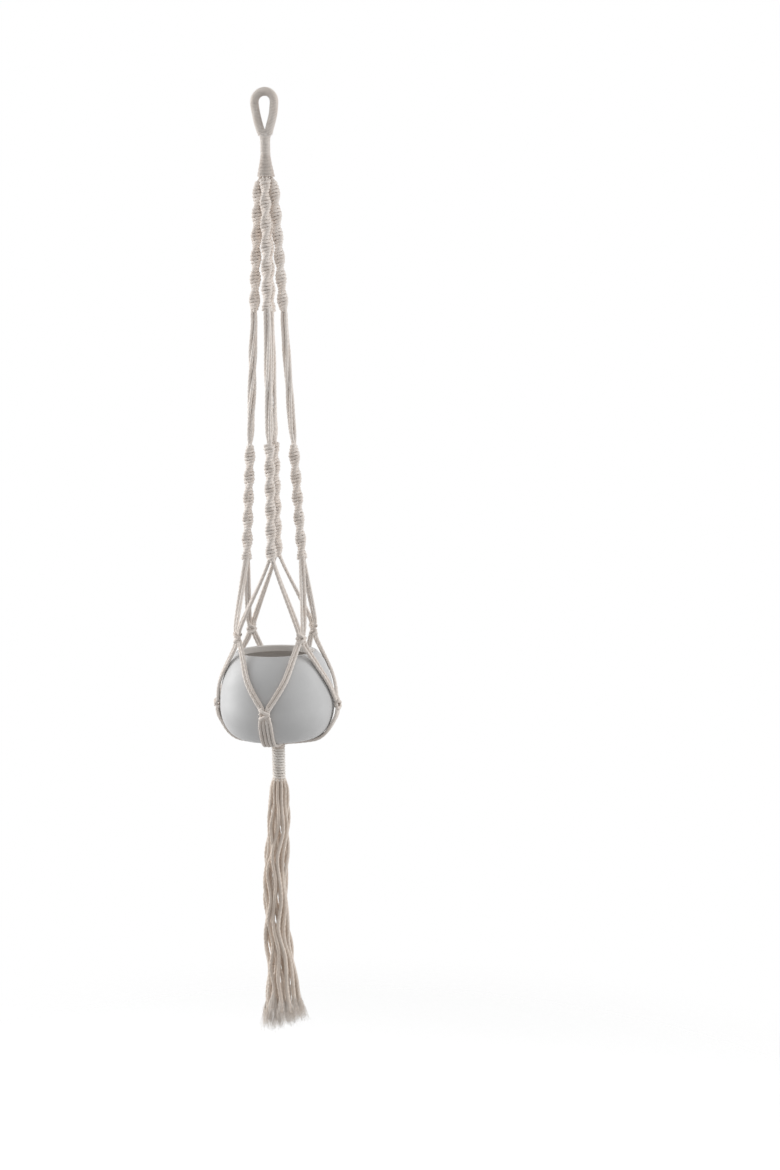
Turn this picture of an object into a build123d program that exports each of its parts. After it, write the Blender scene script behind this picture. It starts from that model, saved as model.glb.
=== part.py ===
# A hanging planter: a round pot held in a knotted cotton cord hanger.
# The origin is where a hook bears inside the top of the hanging eye. +Z is up, and the front leg is at -Y.
import os
from math import asin, atan2, cos, degrees, hypot, pi, radians, sin, sqrt, tan

from build123d import *

os.makedirs("parts", exist_ok=True)

# Cords and clearances
cord_diameter = 4.0
squeezed_cord_diameter = 3.0
whipping_cord_diameter = 1.6
gathering_cord_diameter = 2.7
cord_sides = 6
bundle_sides = 12
lane_gap = 0.2
seat_gap = 0.2
moving_gap = 0.3
turn_gap = 0.45

# Hanging eye
eye_hole_width = 12.5
eye_thickness = 10.0
eye_core_diameter = 6.6
limb_slant = 7.0
limb_bend_depth = 25.0
limb_end_depth = 41.0
limb_end_spacing = 7.2
throat_drop = 2.0
throat_width = 15.0

# Neck
neck_core_radius = 4.2
neck_length = 42.0
neck_dome_radius = 6.9
neck_turn_start = 1.0

# Legs
leg_drop = 8.0
leg_top_radius = 8.6
leg_spread = 0.0547
leg_twist = 5.5
core_cord_rise = 6.0
plain_stretch = 151.0
settling_length = 10.0

# Spiral sinnets of half knots
knot_pitch = 4.3
half_turn_length = 23.5
sinnet_width = 13.0
sinnet_thickness = 8.0
bar_flat_width = 6.4
bar_taper = 14.0
upper_half_knots = 33
lower_half_knots = 30

# Net
net_drop = 86.73
upper_knot_radius = 51.5
lower_knot_drop = 61.0
square_knot_width = 16.0
square_knot_thickness = 9.0
square_knot_flat_width = 12.0
square_knot_height = 14.0
square_knot_bars = 3
net_wrap_allowance = 0.8
pair_opening = 0.25
shoulder_shares = (0.0, 0.58, 0.72, 0.86, 1.0)
base_wrap_allowance = 0.4
base_angles = (32, 52, 70, 88)

# Pot
pot_drop = 20.0
pot_height = 100.0
pot_rim_radius = 46.0
pot_mouth_radius = 43.0
pot_shoulder_radius = 36.0
pot_belly_radius = 65.5
pot_belly_drop = 62.0
pot_base_radius = 38.5
pot_wall = 4.0
pot_floor = 5.0
pot_collar_height = 7.0
pot_lip_radius = 1.2

# Gathering and tassel
gathering_drop = 11.5
gathering_length = 39.5
gathering_core_radius = 4.5
gathering_turn_start = 1.6
gathering_approach = 4.0
gathering_rise = 17.0
tassel_dome_radius = 8.6
route_corner_share = 0.45

# A tassel cord's route in its leg's own frame: outwards, sideways and down from the tassel's pivot
tassel_routes = [
    [(9.5, 0.0, 5.0), (10.6, 0.8, 47.0), (12.0, -0.6, 97.0), (11.2, 0.9, 147.0), (13.2, -0.4, 195.0),
     (15.8, 0.8, 239.0), (20.0, 1.6, 275.0)],
    [(8.2, 4.8, 5.0), (9.0, 6.0, 44.0), (10.6, 5.4, 92.0), (9.6, 6.9, 141.0), (11.7, 6.0, 191.0),
     (13.0, 8.2, 235.0), (16.6, 11.0, 277.0)],
    [(8.2, -4.8, 5.0), (9.2, -4.6, 50.0), (10.2, -6.2, 101.0), (9.9, -5.3, 149.0), (11.0, -7.1, 200.0),
     (13.6, -7.4, 242.0), (15.8, -10.4, 271.0)],
    [(4.8, 0.0, 8.6), (4.8, 0.7, 52.0), (5.4, -0.6, 103.0), (4.6, 0.8, 153.0), (5.2, -0.7, 202.0),
     (5.9, 0.6, 244.0), (7.6, 1.4, 281.0)],
]

legs = {"right": 0, "back": 90, "left": 180, "front": 270}
corners = {"back_right": 45, "back_left": 135, "front_left": 225, "front_right": 315}
corner_turn = 45
cords_per_leg = 4

# Sizes that follow from those above
lane = cord_diameter + lane_gap
half_lane = lane / 2
lanes = (half_lane, half_lane + lane)
throat_depth = limb_end_depth + throat_drop
neck_top_depth = throat_depth + eye_thickness / 2 + moving_gap
neck_pivot_depth = throat_depth + neck_length
leg_top_depth = neck_pivot_depth + leg_drop
leg_tilt = degrees(atan2(leg_spread, 1))
upper_sinnet_length = upper_half_knots * knot_pitch
lower_sinnet_length = lower_half_knots * knot_pitch
lower_sinnet_start = upper_sinnet_length + plain_stretch
leg_length = lower_sinnet_start + lower_sinnet_length
leg_end_depth = leg_top_depth + leg_length * cos(radians(leg_tilt))
leg_end_radius = leg_top_radius + leg_length * sin(radians(leg_tilt))
core_hole_radius = squeezed_cord_diameter + lane_gap
upper_knot_depth = leg_end_depth + net_drop
pot_rim_depth = upper_knot_depth + pot_drop
pot_belly_depth = pot_rim_depth + pot_belly_drop
pot_base_depth = pot_rim_depth + pot_height
lower_knot_depth = pot_rim_depth + lower_knot_drop
lower_knot_radius = pot_belly_radius + moving_gap + square_knot_thickness / 2
gathering_depth = pot_base_depth + gathering_drop
gathering_dome_radius = gathering_core_radius + lane_gap / 2 + gathering_cord_diameter
gathering_ring = gathering_dome_radius + moving_gap
gathering_spacing = 360 / (cords_per_leg * len(legs))
tassel_pivot_depth = gathering_depth + gathering_length


def polar(radius, azimuth, depth, sideways=0.0):
    angle = radians(azimuth)
    return Vector(
        radius * cos(angle) - sideways * sin(angle),
        radius * sin(angle) + sideways * cos(angle),
        -depth,
    )


def write_node(node, label):
    node.label = label
    export_step(node, f"parts/{label}.step")


# The height of the ellipse that leads from the belly to an edge above it
def shoulder_height(belly_radius, edge_radius, drop):
    share = (edge_radius - pot_shoulder_radius) / (belly_radius - pot_shoulder_radius)
    return drop / sqrt(1 - share**2)


def pot_radius(depth):
    below_belly = depth - pot_belly_depth
    if below_belly < 0:
        centre_radius = pot_shoulder_radius
        height = shoulder_height(pot_belly_radius, pot_rim_radius, pot_belly_drop)
    else:
        centre_radius = pot_base_radius
        height = pot_height - pot_belly_drop
    share = min(1.0, below_belly / height)
    return centre_radius + (pot_belly_radius - centre_radius) * sqrt(1 - share**2)


# A taut cord: flat-sided, through its points, each with a diameter, lying flat to the given side directions
def taut_cord(points, diameters, sides):
    with BuildPart() as cord:
        for index, point in enumerate(points):
            before = points[max(index - 1, 0)]
            after = points[min(index + 1, len(points) - 1)]
            along = after - before
            across = sides[index] - along * (sides[index].dot(along) / along.dot(along))
            with BuildSketch(Plane(point, x_dir=across, z_dir=along)):
                RegularPolygon(diameters[index] / 2, side_count=cord_sides)
        loft(ruled=True)
    return cord.part


# Two tangent arcs from one point and direction to another
def add_biarc(start, start_direction, end, end_direction):
    span = end - start
    turning = 2 * (1 - start_direction.dot(end_direction))
    reach = span.dot(start_direction + end_direction)
    handle = (sqrt(reach**2 + turning * span.dot(span)) - reach) / turning
    middle = (start + end + (start_direction - end_direction) * handle) * 0.5
    middle_direction = (end - end_direction * handle) - (start + start_direction * handle)
    TangentArc(start, middle, tangent=start_direction)
    TangentArc(middle, end, tangent=middle_direction.normalized())


# A winding: one tube that climbs down an upright core in as many turns as fit, with straight ends
def winding(top_depth, bottom_depth, core_radius, wire):
    radius = core_radius + lane_gap / 2 + wire / 2
    pitch = wire + turn_gap
    climb = pitch / (2 * pi)
    turns = int((bottom_depth - wire / 2 - top_depth) / pitch)

    def place(turn):
        angle = 2 * pi * turn
        return Vector(radius * cos(angle), radius * sin(angle), -top_depth - pitch * turn)

    def heading(turn):
        angle = 2 * pi * turn
        return Vector(-radius * sin(angle), radius * cos(angle), -climb).normalized()

    with BuildPart() as tube:
        with BuildLine() as route:
            Line(place(0) - heading(0) * wire, place(0))
            for quarter in range(4 * turns):
                here = quarter / 4
                there = (quarter + 1) / 4
                add_biarc(place(here), heading(here), place(there), heading(there))
            Line(place(turns), place(turns) + heading(turns) * wire)
        with BuildSketch(Plane(route.line @ 0, z_dir=heading(0))):
            RegularPolygon(wire / 2, side_count=cord_sides)
        sweep()

    steps = 48
    nearest_turn = range(3 * steps // 4, 5 * steps // 4 + 1)
    samples = [place(step / steps) for step in range(turns * steps + 1)]
    least = min(
        (samples[index + offset] - samples[index]).length
        for offset in nearest_turn
        for index in range(len(samples) - offset)
    )
    print(f"winding of {turns} turns: least gap to itself {least - wire:.2f} mm")
    return tube.part


# The hanging eye
crown_radius = (eye_hole_width + eye_thickness) / 2
crown_depth = eye_hole_width / 2

with BuildPart() as eye_cord_bundle:
    with BuildLine(Plane.XZ) as half_fold:
        crown = CenterArc((0, -crown_depth), crown_radius, 90, -90 - limb_slant)
        bend = crown @ 1
        limb_run = (limb_bend_depth + bend.Y) * tan(radians(limb_slant))
        limb = Line(bend, (bend.X - limb_run, -limb_bend_depth))
        TangentArc(limb @ 1, (limb_end_spacing / 2, -limb_end_depth), tangent=limb % 1)
    with BuildSketch(Plane(half_fold.line @ 0, z_dir=half_fold.line % 0)):
        RegularPolygon(eye_core_diameter / 2, side_count=bundle_sides)
    sweep(path=half_fold.line)
    mirror(about=Plane.YZ)
write_node(eye_cord_bundle.part, "eye_cord_bundle")

with BuildPart() as eye_whipping:
    with BuildSketch(Plane(half_fold.line @ 0, z_dir=half_fold.line % 0)):
        RegularPolygon(eye_thickness / 2, side_count=bundle_sides)
    sweep(path=half_fold.line)
    with BuildSketch(Plane.YZ):
        with Locations((0, -throat_depth)):
            RegularPolygon(eye_thickness / 2, side_count=bundle_sides)
    extrude(amount=throat_width / 2)
    mirror(about=Plane.YZ)
    add(eye_cord_bundle.part, mode=Mode.SUBTRACT)
write_node(eye_whipping.part, "eye_whipping")

# The neck
with BuildPart() as neck_cord_bundle:
    with BuildSketch(Plane.XZ):
        with BuildLine():
            shoulder = Polyline(
                (0, -neck_pivot_depth - neck_dome_radius),
                (0, -neck_top_depth),
                (neck_core_radius, -neck_top_depth),
                (neck_core_radius, -neck_pivot_depth),
                (neck_dome_radius, -neck_pivot_depth),
            )
            TangentArc(shoulder @ 1, shoulder @ 0, tangent=(0, -1))
        make_face()
    revolve(axis=Axis.Z)
write_node(neck_cord_bundle.part, "neck_cord_bundle")

neck_whipping = winding(
    neck_top_depth + neck_turn_start,
    neck_pivot_depth,
    neck_core_radius,
    whipping_cord_diameter,
)
write_node(neck_whipping, "neck_whipping")


# One leg, modelled along its own axis: down the leg is +Z, sideways is X
def leg_plane(azimuth):
    slant = radians(leg_tilt)
    return Plane(
        polar(leg_top_radius, azimuth, leg_top_depth),
        x_dir=polar(0, azimuth, 0, sideways=1),
        z_dir=polar(sin(slant), azimuth, cos(slant)),
    )


# A half knot's outline: a bar, flat over the cords that it crosses and narrowing to its loops
def bar(width, thickness, flat_width):
    Polygon(
        (width / 2, 0),
        (flat_width / 2, thickness / 2),
        (-flat_width / 2, thickness / 2),
        (-width / 2, 0),
        (-flat_width / 2, -thickness / 2),
        (flat_width / 2, -thickness / 2),
    )


# A sinnet: a stair of half knots, each a bar across the core cords, turned a little further than the last
def sinnet(half_knots):
    with BuildPart() as stair:
        for knot in range(half_knots):
            turn = 180 * knot * knot_pitch / half_turn_length
            with BuildSketch(Plane.XY.offset((knot + 0.5) * knot_pitch).rotated((0, 0, turn))):
                bar(sinnet_width, sinnet_thickness, bar_flat_width)
        extrude(amount=knot_pitch / 2, both=True, taper=bar_taper)
        with BuildSketch():
            Circle(core_hole_radius)
        extrude(amount=half_knots * knot_pitch, mode=Mode.SUBTRACT)
    return stair.part


# A cord along a leg, through stations of depth, sideways, outwards and diameter
def leg_cord(stations):
    with BuildPart() as cord:
        for depth, sideways, outwards, diameter in stations:
            with BuildSketch(Plane.XY.offset(depth)):
                with Locations((sideways, outwards)):
                    RegularPolygon(diameter / 2, side_count=cord_sides)
        loft(ruled=True)
    return cord.part


# The core cords are squeezed inside the sinnets, with the knotting cords beside them where they hang plain
settled = upper_sinnet_length + settling_length
unsettled = lower_sinnet_start - settling_length
squeezed_lane = (squeezed_cord_diameter + lane_gap) / 2
knotting_lane = (squeezed_cord_diameter + cord_diameter) / 2

with BuildPart() as core_cords:
    for side in (-1, 1):
        add(
            leg_cord(
                [
                    (-core_cord_rise, side * squeezed_lane, 0, squeezed_cord_diameter),
                    (upper_sinnet_length, side * squeezed_lane, 0, squeezed_cord_diameter),
                    (settled, side * half_lane, -half_lane, cord_diameter),
                    (unsettled, side * half_lane, -half_lane, cord_diameter),
                    (lower_sinnet_start, side * squeezed_lane, 0, squeezed_cord_diameter),
                    (leg_length, side * squeezed_lane, 0, squeezed_cord_diameter),
                ]
            )
        )

with BuildPart() as knotting_cords:
    for side in (-1, 1):
        add(
            leg_cord(
                [
                    (upper_sinnet_length + seat_gap, side * half_lane, knotting_lane, cord_diameter),
                    (settled, side * half_lane, half_lane, cord_diameter),
                    (unsettled, side * half_lane, half_lane, cord_diameter),
                    (lower_sinnet_start - seat_gap, side * half_lane, knotting_lane, cord_diameter),
                ]
            )
        )

upper_sinnet = sinnet(upper_half_knots)
lower_sinnet = sinnet(lower_half_knots)

for name, azimuth in legs.items():
    place = Location(leg_plane(azimuth + leg_twist))
    lower_place = Location(leg_plane(azimuth + leg_twist).offset(lower_sinnet_start))
    write_node(core_cords.part.moved(place), f"{name}_core_cords")
    write_node(knotting_cords.part.moved(place), f"{name}_knotting_cords")
    write_node(upper_sinnet.moved(place), f"{name}_upper_sinnet")
    write_node(lower_sinnet.moved(lower_place), f"{name}_lower_sinnet")

# The square knots of the net
with BuildPart() as square_knot:
    bar_height = square_knot_height / square_knot_bars
    for layer in range(square_knot_bars):
        with BuildSketch(Plane.XY.offset((layer + 0.5) * bar_height - square_knot_height / 2)):
            bar(square_knot_width, square_knot_thickness, square_knot_flat_width)
    extrude(amount=bar_height / 2, both=True, taper=bar_taper)

for name, azimuth in corners.items():
    upright = Rot(0, 0, azimuth + 90)
    write_node(
        square_knot.part.moved(Pos(polar(upper_knot_radius, azimuth, upper_knot_depth)) * upright),
        f"{name}_upper_knot",
    )
for name, azimuth in legs.items():
    upright = Rot(0, 0, azimuth + 90)
    write_node(
        square_knot.part.moved(Pos(polar(lower_knot_radius, azimuth, lower_knot_depth)) * upright),
        f"{name}_lower_knot",
    )

# Net cords from each leg to the knots beside it
upper_net_start = leg_end_depth + cord_diameter / 4 + seat_gap
upper_net_end = upper_knot_depth - square_knot_height / 2 - cord_diameter / 4 - seat_gap

for name, azimuth in legs.items():
    with BuildPart() as upper_net_cords:
        for turn in (-1, 1):
            for inwards, arrival in ((-1, lanes[0]), (1, lanes[1])):
                start_radius = leg_end_radius + inwards * half_lane
                start = polar(start_radius, azimuth + leg_twist, upper_net_start, turn * half_lane)
                end = polar(upper_knot_radius, azimuth + turn * corner_turn, upper_net_end, -turn * arrival)
                outwards = polar(1, azimuth + turn * corner_turn / 2, 0)
                add(taut_cord([start, end], [cord_diameter] * 2, [outwards] * 2))
    write_node(upper_net_cords.part, f"{name}_upper_net_cords")

# Net cords over the pot's shoulder, from each upper knot to the lower knots beside it
lower_net_start = upper_knot_depth + square_knot_height / 2 + cord_diameter / 4 + seat_gap
lower_net_end = lower_knot_depth - square_knot_height / 2 - cord_diameter / 4 - seat_gap
net_standoff = cord_diameter / 2 + moving_gap + net_wrap_allowance


def shoulder_cord(azimuth, turn, side):
    points = []
    sides = []
    for share in shoulder_shares:
        depth = lower_net_start + share * (lower_net_end - lower_net_start)
        radius = max(upper_knot_radius, pot_radius(max(depth, pot_rim_depth)) + net_standoff)
        spread = half_lane * (1 + pair_opening * sin(pi * share))
        sideways = turn * (lane * (1 - 2 * share) + side * spread)
        points.append(polar(radius, azimuth + turn * corner_turn * share, depth, sideways))
        sides.append(polar(1, azimuth + turn * corner_turn * share, 0))
    return taut_cord(points, [cord_diameter] * len(points), sides)


for name, azimuth in corners.items():
    with BuildPart() as lower_net_cords:
        for turn in (-1, 1):
            add(shoulder_cord(azimuth, turn, -1))
            add(shoulder_cord(azimuth, turn, 1))
    write_node(lower_net_cords.part, f"{name}_lower_net_cords")

# Cords under the pot, from each lower knot to the gathering
base_standoff = cord_diameter / 2 + moving_gap + base_wrap_allowance


def base_cord(azimuth, lane_offset, fan):
    width = pot_belly_radius - pot_base_radius
    height = pot_height - pot_belly_drop
    start_depth = lower_knot_depth + square_knot_height / 2 + cord_diameter / 4
    points = [polar(lower_knot_radius, azimuth, start_depth, lane_offset)]
    for angle in base_angles:
        across = cos(radians(angle))
        down = sin(radians(angle))
        slope = hypot(across / width, down / height)
        radius = pot_base_radius + width * across + base_standoff * across / width / slope
        depth = pot_belly_depth + height * down + base_standoff * down / height / slope
        points.append(polar(radius, azimuth, depth, lane_offset))
    rise = radians(gathering_rise)
    for reach in (gathering_ring + gathering_approach, gathering_ring):
        points.append(polar(reach * cos(rise), azimuth + fan, gathering_depth - reach * sin(rise)))
    diameters = [cord_diameter] * (len(points) - 2)
    diameters.append((cord_diameter + gathering_cord_diameter) / 2)
    diameters.append(gathering_cord_diameter)
    sideways = polar(0, azimuth, 0, sideways=1)
    return taut_cord(points, diameters, [sideways] * len(points))


for name, azimuth in legs.items():
    with BuildPart() as base_cords:
        for side in (-1, 1):
            for step, offset in enumerate(lanes):
                add(base_cord(azimuth, side * offset, side * (step + 0.5) * gathering_spacing))
    write_node(base_cords.part, f"{name}_base_cords")

# The pot: an elliptical bowl and shoulder, outside and inside
collar_drop = pot_belly_drop - pot_collar_height
inner_belly_radius = pot_belly_radius - pot_wall
outer_height = shoulder_height(pot_belly_radius, pot_rim_radius, pot_belly_drop)
inner_height = shoulder_height(inner_belly_radius, pot_mouth_radius, collar_drop)


def bowl_arc(belly_radius, height):
    return EllipticalCenterArc(
        (pot_base_radius, -pot_belly_depth),
        belly_radius - pot_base_radius,
        height,
        start_angle=270,
        arc_size=90,
    )


def shoulder_arc(belly_radius, height, drop):
    return EllipticalCenterArc(
        (pot_shoulder_radius, -pot_belly_depth),
        belly_radius - pot_shoulder_radius,
        height,
        start_angle=0,
        arc_size=degrees(asin(drop / height)),
    )


with BuildPart() as pot:
    with BuildSketch(Plane.XZ):
        with BuildLine():
            bowl = bowl_arc(pot_belly_radius, pot_height - pot_belly_drop)
            shoulder = shoulder_arc(pot_belly_radius, outer_height, pot_belly_drop)
            hollow = bowl_arc(inner_belly_radius, pot_height - pot_belly_drop - pot_floor)
            inner_shoulder = shoulder_arc(inner_belly_radius, inner_height, collar_drop)
            Polyline(shoulder @ 1, (pot_mouth_radius, -pot_rim_depth), inner_shoulder @ 1)
            Polyline(hollow @ 0, (0, pot_floor - pot_base_depth), (0, -pot_base_depth), bowl @ 0)
        make_face()
    revolve(axis=Axis.Z)
    lip = pot.faces().filter_by(Plane.XY).sort_by(Axis.Z)[-1]
    fillet(lip.edges(), radius=pot_lip_radius)
write_node(pot.part, "pot")

# The gathering under the pot: squeezed cords, domed at both ends where they flex
with BuildPart() as gathering_bundle:
    with BuildSketch(Plane.XZ):
        with BuildLine():
            outline = Polyline(
                (gathering_dome_radius, -gathering_depth),
                (gathering_core_radius, -gathering_depth),
                (gathering_core_radius, -tassel_pivot_depth),
                (tassel_dome_radius, -tassel_pivot_depth),
            )
            crown = (0, gathering_dome_radius - gathering_depth)
            foot = (0, -tassel_pivot_depth - tassel_dome_radius)
            TangentArc(outline @ 1, foot, tangent=(0, -1))
            Line(foot, crown)
            TangentArc(outline @ 0, crown, tangent=(0, 1))
        make_face()
    revolve(axis=Axis.Z)
write_node(gathering_bundle.part, "gathering_bundle")

gathering_wrap = winding(
    gathering_depth + gathering_turn_start,
    tassel_pivot_depth,
    gathering_core_radius,
    gathering_cord_diameter,
)
write_node(gathering_wrap, "gathering_wrap")


# A hanging end: straight runs joined by arcs as large as the runs allow
def hanging_cord(points):
    radii = []
    for before, here, after in zip(points, points[1:], points[2:]):
        turn = radians((here - before).get_angle(after - here))
        shorter = min((here - before).length, (after - here).length)
        radii.append(route_corner_share * shorter / tan(turn / 2))
    with BuildPart() as cord:
        with BuildLine() as route:
            FilletPolyline(*points, radius=radii)
        with BuildSketch(Plane(route.line @ 0, z_dir=route.line % 0)):
            RegularPolygon(cord_diameter / 2, side_count=cord_sides)
        sweep()
    section = cord_sides / 2 * (cord_diameter / 2) ** 2 * sin(2 * pi / cord_sides)
    length = route.wire().length
    share = cord.part.volume / (section * length)
    print(f"tassel cord {length:.1f} mm, least radius {min(radii):.0f} mm, volume share {share:.3f}")
    return cord.part


for name, azimuth in legs.items():
    with BuildPart() as tassel_cords:
        for route in tassel_routes:
            points = [polar(out, azimuth, tassel_pivot_depth + down, side) for out, side, down in route]
            add(hanging_cord(points))
    write_node(tassel_cords.part, f"{name}_tassel_cords")
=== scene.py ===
import math

import bpy
import numpy as np
from mathutils import Matrix, Vector


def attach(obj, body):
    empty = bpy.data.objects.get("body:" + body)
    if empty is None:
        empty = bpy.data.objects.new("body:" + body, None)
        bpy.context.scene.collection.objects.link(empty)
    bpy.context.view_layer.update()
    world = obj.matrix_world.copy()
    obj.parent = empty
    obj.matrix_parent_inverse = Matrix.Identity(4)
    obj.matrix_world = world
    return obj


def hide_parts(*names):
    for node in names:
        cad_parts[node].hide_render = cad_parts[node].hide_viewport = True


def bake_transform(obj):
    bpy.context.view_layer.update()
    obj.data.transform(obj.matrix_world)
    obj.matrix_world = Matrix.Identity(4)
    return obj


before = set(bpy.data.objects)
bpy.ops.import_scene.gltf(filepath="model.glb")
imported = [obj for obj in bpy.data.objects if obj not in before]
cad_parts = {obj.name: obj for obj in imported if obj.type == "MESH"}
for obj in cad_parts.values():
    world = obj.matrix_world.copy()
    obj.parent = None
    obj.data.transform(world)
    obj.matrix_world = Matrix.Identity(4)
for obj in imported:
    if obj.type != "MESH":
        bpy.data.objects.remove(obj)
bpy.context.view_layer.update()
chance = np.random.default_rng(11)
print("stage: frame loaded")

# Sizes are in metres, angles in degrees, and colours are linear
legs = {"right": 0, "back": 90, "left": 180, "front": 270}
corners = {"backRight": 45, "backLeft": 135, "frontLeft": 225, "frontRight": 315}
cadCorners = {
    "backRight": "back_right",
    "backLeft": "back_left",
    "frontLeft": "front_left",
    "frontRight": "front_right",
}


def polar(radius, azimuth, depth, sideways=0.0):
    angle = math.radians(azimuth)
    return np.array(
        (
            radius * math.cos(angle) - sideways * math.sin(angle),
            radius * math.sin(angle) + sideways * math.cos(angle),
            -depth,
        )
    )


def smoothLine(points):
    data = bpy.data.curves.new("route", "CURVE")
    data.dimensions = "3D"
    data.resolution_u = 10
    spline = data.splines.new("NURBS")
    spline.points.add(len(points) - 1)
    for place, point in zip(spline.points, points):
        place.co = (*point, 1)
    spline.order_u = 3
    spline.use_endpoint_u = True
    holder = bpy.data.objects.new("route", data)
    mesh = bpy.data.meshes.new_from_object(holder)
    line = np.array([vertex.co for vertex in mesh.vertices])
    bpy.data.objects.remove(holder)
    bpy.data.curves.remove(data)
    bpy.data.meshes.remove(mesh)
    return line


def lengthMarks(line):
    return np.concatenate(((0.0,), np.cumsum(np.linalg.norm(np.diff(line, axis=0), axis=1))))


def placesAlong(line, marks, along):
    return np.stack([np.interp(along, marks, line[:, axis]) for axis in range(3)], axis=-1)


def easeInOut(share):
    return share * share * (3 - 2 * share)


# Turns wound by hand are never quite even
def uneven(index, amount, pace):
    return 1 + amount * math.sin(index * pace)


cotton = {
    "paleColour": (0.91, 0.853, 0.803),
    "shadeColour": (0.72, 0.636, 0.570),
    "warmColour": (0.66, 0.524, 0.415),
    "roughness": 0.92,
    "specular": 0.25,
    "sheen": 0.25,
    "sheenRoughness": 0.6,
}


def mapRange(nodes, low, high):
    shares = nodes.new("ShaderNodeMapRange")
    shares.inputs["From Min"].default_value = low
    shares.inputs["From Max"].default_value = high
    return shares


def mixColours(nodes, blendType="MIX"):
    mix = nodes.new("ShaderNodeMix")
    mix.data_type = "RGBA"
    mix.blend_type = blendType
    return mix


def newGroup(name, colours, results):
    group = bpy.data.node_groups.new(name, "ShaderNodeTree")
    for colour in colours:
        group.interface.new_socket(colour, in_out="INPUT", socket_type="NodeSocketColor")
    for result, kind in results.items():
        group.interface.new_socket(result, in_out="OUTPUT", socket_type=kind)
    return group


def makeYarnGroup():
    results = {"Colour": "NodeSocketColor", "Normal": "NodeSocketVector"}
    group = newGroup("cottonYarn", ("Pale", "Shade", "Warm"), results)
    nodes, link = group.nodes, group.links.new
    start = nodes.new("NodeGroupInput")
    end = nodes.new("NodeGroupOutput")
    cordMap = nodes.new("ShaderNodeUVMap")
    cordMap.uv_map = "cordMap"
    tone = nodes.new("ShaderNodeAttribute")
    tone.attribute_name = "tone"

    # Fibres run along each ply
    stretch = nodes.new("ShaderNodeMapping")
    stretch.inputs["Scale"].default_value = (26, 420, 1)
    fibres = nodes.new("ShaderNodeTexNoise")
    fibres.inputs["Scale"].default_value = 1.0
    fibres.inputs["Detail"].default_value = 4
    fibres.inputs["Roughness"].default_value = 0.65
    link(cordMap.outputs["UV"], stretch.inputs["Vector"])
    link(stretch.outputs["Vector"], fibres.inputs["Vector"])

    # Warmer blotches, and a tone of its own for each cord
    place = nodes.new("ShaderNodeTexCoord")
    blotches = nodes.new("ShaderNodeTexNoise")
    blotches.inputs["Scale"].default_value = 55
    blotches.inputs["Detail"].default_value = 3
    link(place.outputs["Object"], blotches.inputs["Vector"])
    warmth = mapRange(nodes, 0.46, 0.80)
    link(blotches.outputs["Fac"], warmth.inputs["Value"])
    shadeShare = nodes.new("ShaderNodeMath")
    shadeShare.operation = "MULTIPLY_ADD"
    shadeShare.inputs[1].default_value = 0.75
    link(fibres.outputs["Fac"], shadeShare.inputs[0])
    link(tone.outputs["Fac"], shadeShare.inputs[2])
    shadeRange = mapRange(nodes, 0.10, 0.90)
    link(shadeShare.outputs["Value"], shadeRange.inputs["Value"])
    yarn = mixColours(nodes)
    link(shadeRange.outputs["Result"], yarn.inputs["Factor"])
    link(start.outputs["Pale"], yarn.inputs["A"])
    link(start.outputs["Shade"], yarn.inputs["B"])
    warmShare = nodes.new("ShaderNodeMath")
    warmShare.operation = "MULTIPLY"
    warmShare.inputs[1].default_value = 0.30
    link(warmth.outputs["Result"], warmShare.inputs[0])
    warm = mixColours(nodes)
    link(warmShare.outputs["Value"], warm.inputs["Factor"])
    link(yarn.outputs["Result"], warm.inputs["A"])
    link(start.outputs["Warm"], warm.inputs["B"])
    link(warm.outputs["Result"], end.inputs["Colour"])

    bump = nodes.new("ShaderNodeBump")
    bump.inputs["Strength"].default_value = 0.55
    bump.inputs["Distance"].default_value = 0.0004
    link(fibres.outputs["Fac"], bump.inputs["Height"])
    link(bump.outputs["Normal"], end.inputs["Normal"])
    return group


def makeMaterial(name, group, colours):
    material = bpy.data.materials.new(name)
    material.use_nodes = True
    nodes, link = material.node_tree.nodes, material.node_tree.links.new
    effect = nodes.new("ShaderNodeGroup")
    effect.node_tree = group
    for socket, colour in colours.items():
        effect.inputs[socket].default_value = (*colour, 1)
    surface = nodes["Principled BSDF"]
    link(effect.outputs["Colour"], surface.inputs["Base Color"])
    link(effect.outputs["Normal"], surface.inputs["Normal"])
    if "Roughness" in effect.outputs:
        link(effect.outputs["Roughness"], surface.inputs["Roughness"])
    return material, surface


yarnGroup = makeYarnGroup()


def makeCordMaterial(name, pale, shade):
    colours = {"Pale": pale, "Shade": shade, "Warm": cotton["warmColour"]}
    material, surface = makeMaterial(name, yarnGroup, colours)
    surface.inputs["Roughness"].default_value = cotton["roughness"]
    surface.inputs["Specular IOR Level"].default_value = cotton["specular"]
    surface.inputs["Sheen Weight"].default_value = cotton["sheen"]
    surface.inputs["Sheen Roughness"].default_value = cotton["sheenRoughness"]
    return material


cordMaterial = makeCordMaterial("cottonCord", cotton["paleColour"], cotton["shadeColour"])
whippingMaterial = makeCordMaterial("whippingCord", cotton["paleColour"], cotton["shadeColour"])
print("stage: cord materials made")

rope = {
    "diameter": 0.0040,
    "plies": 3,
    "layLength": 0.0170,
    "grooveDepth": 0.17,
    "grooveSharpness": 0.7,
    "sidesPerPly": 4,
    "step": 0.0014,
    "fewestRings": 4,
    "toneSpread": 0.18,
}


def newStrands():
    return {"places": [], "faces": [], "map": [], "tones": [], "count": 0}


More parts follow.
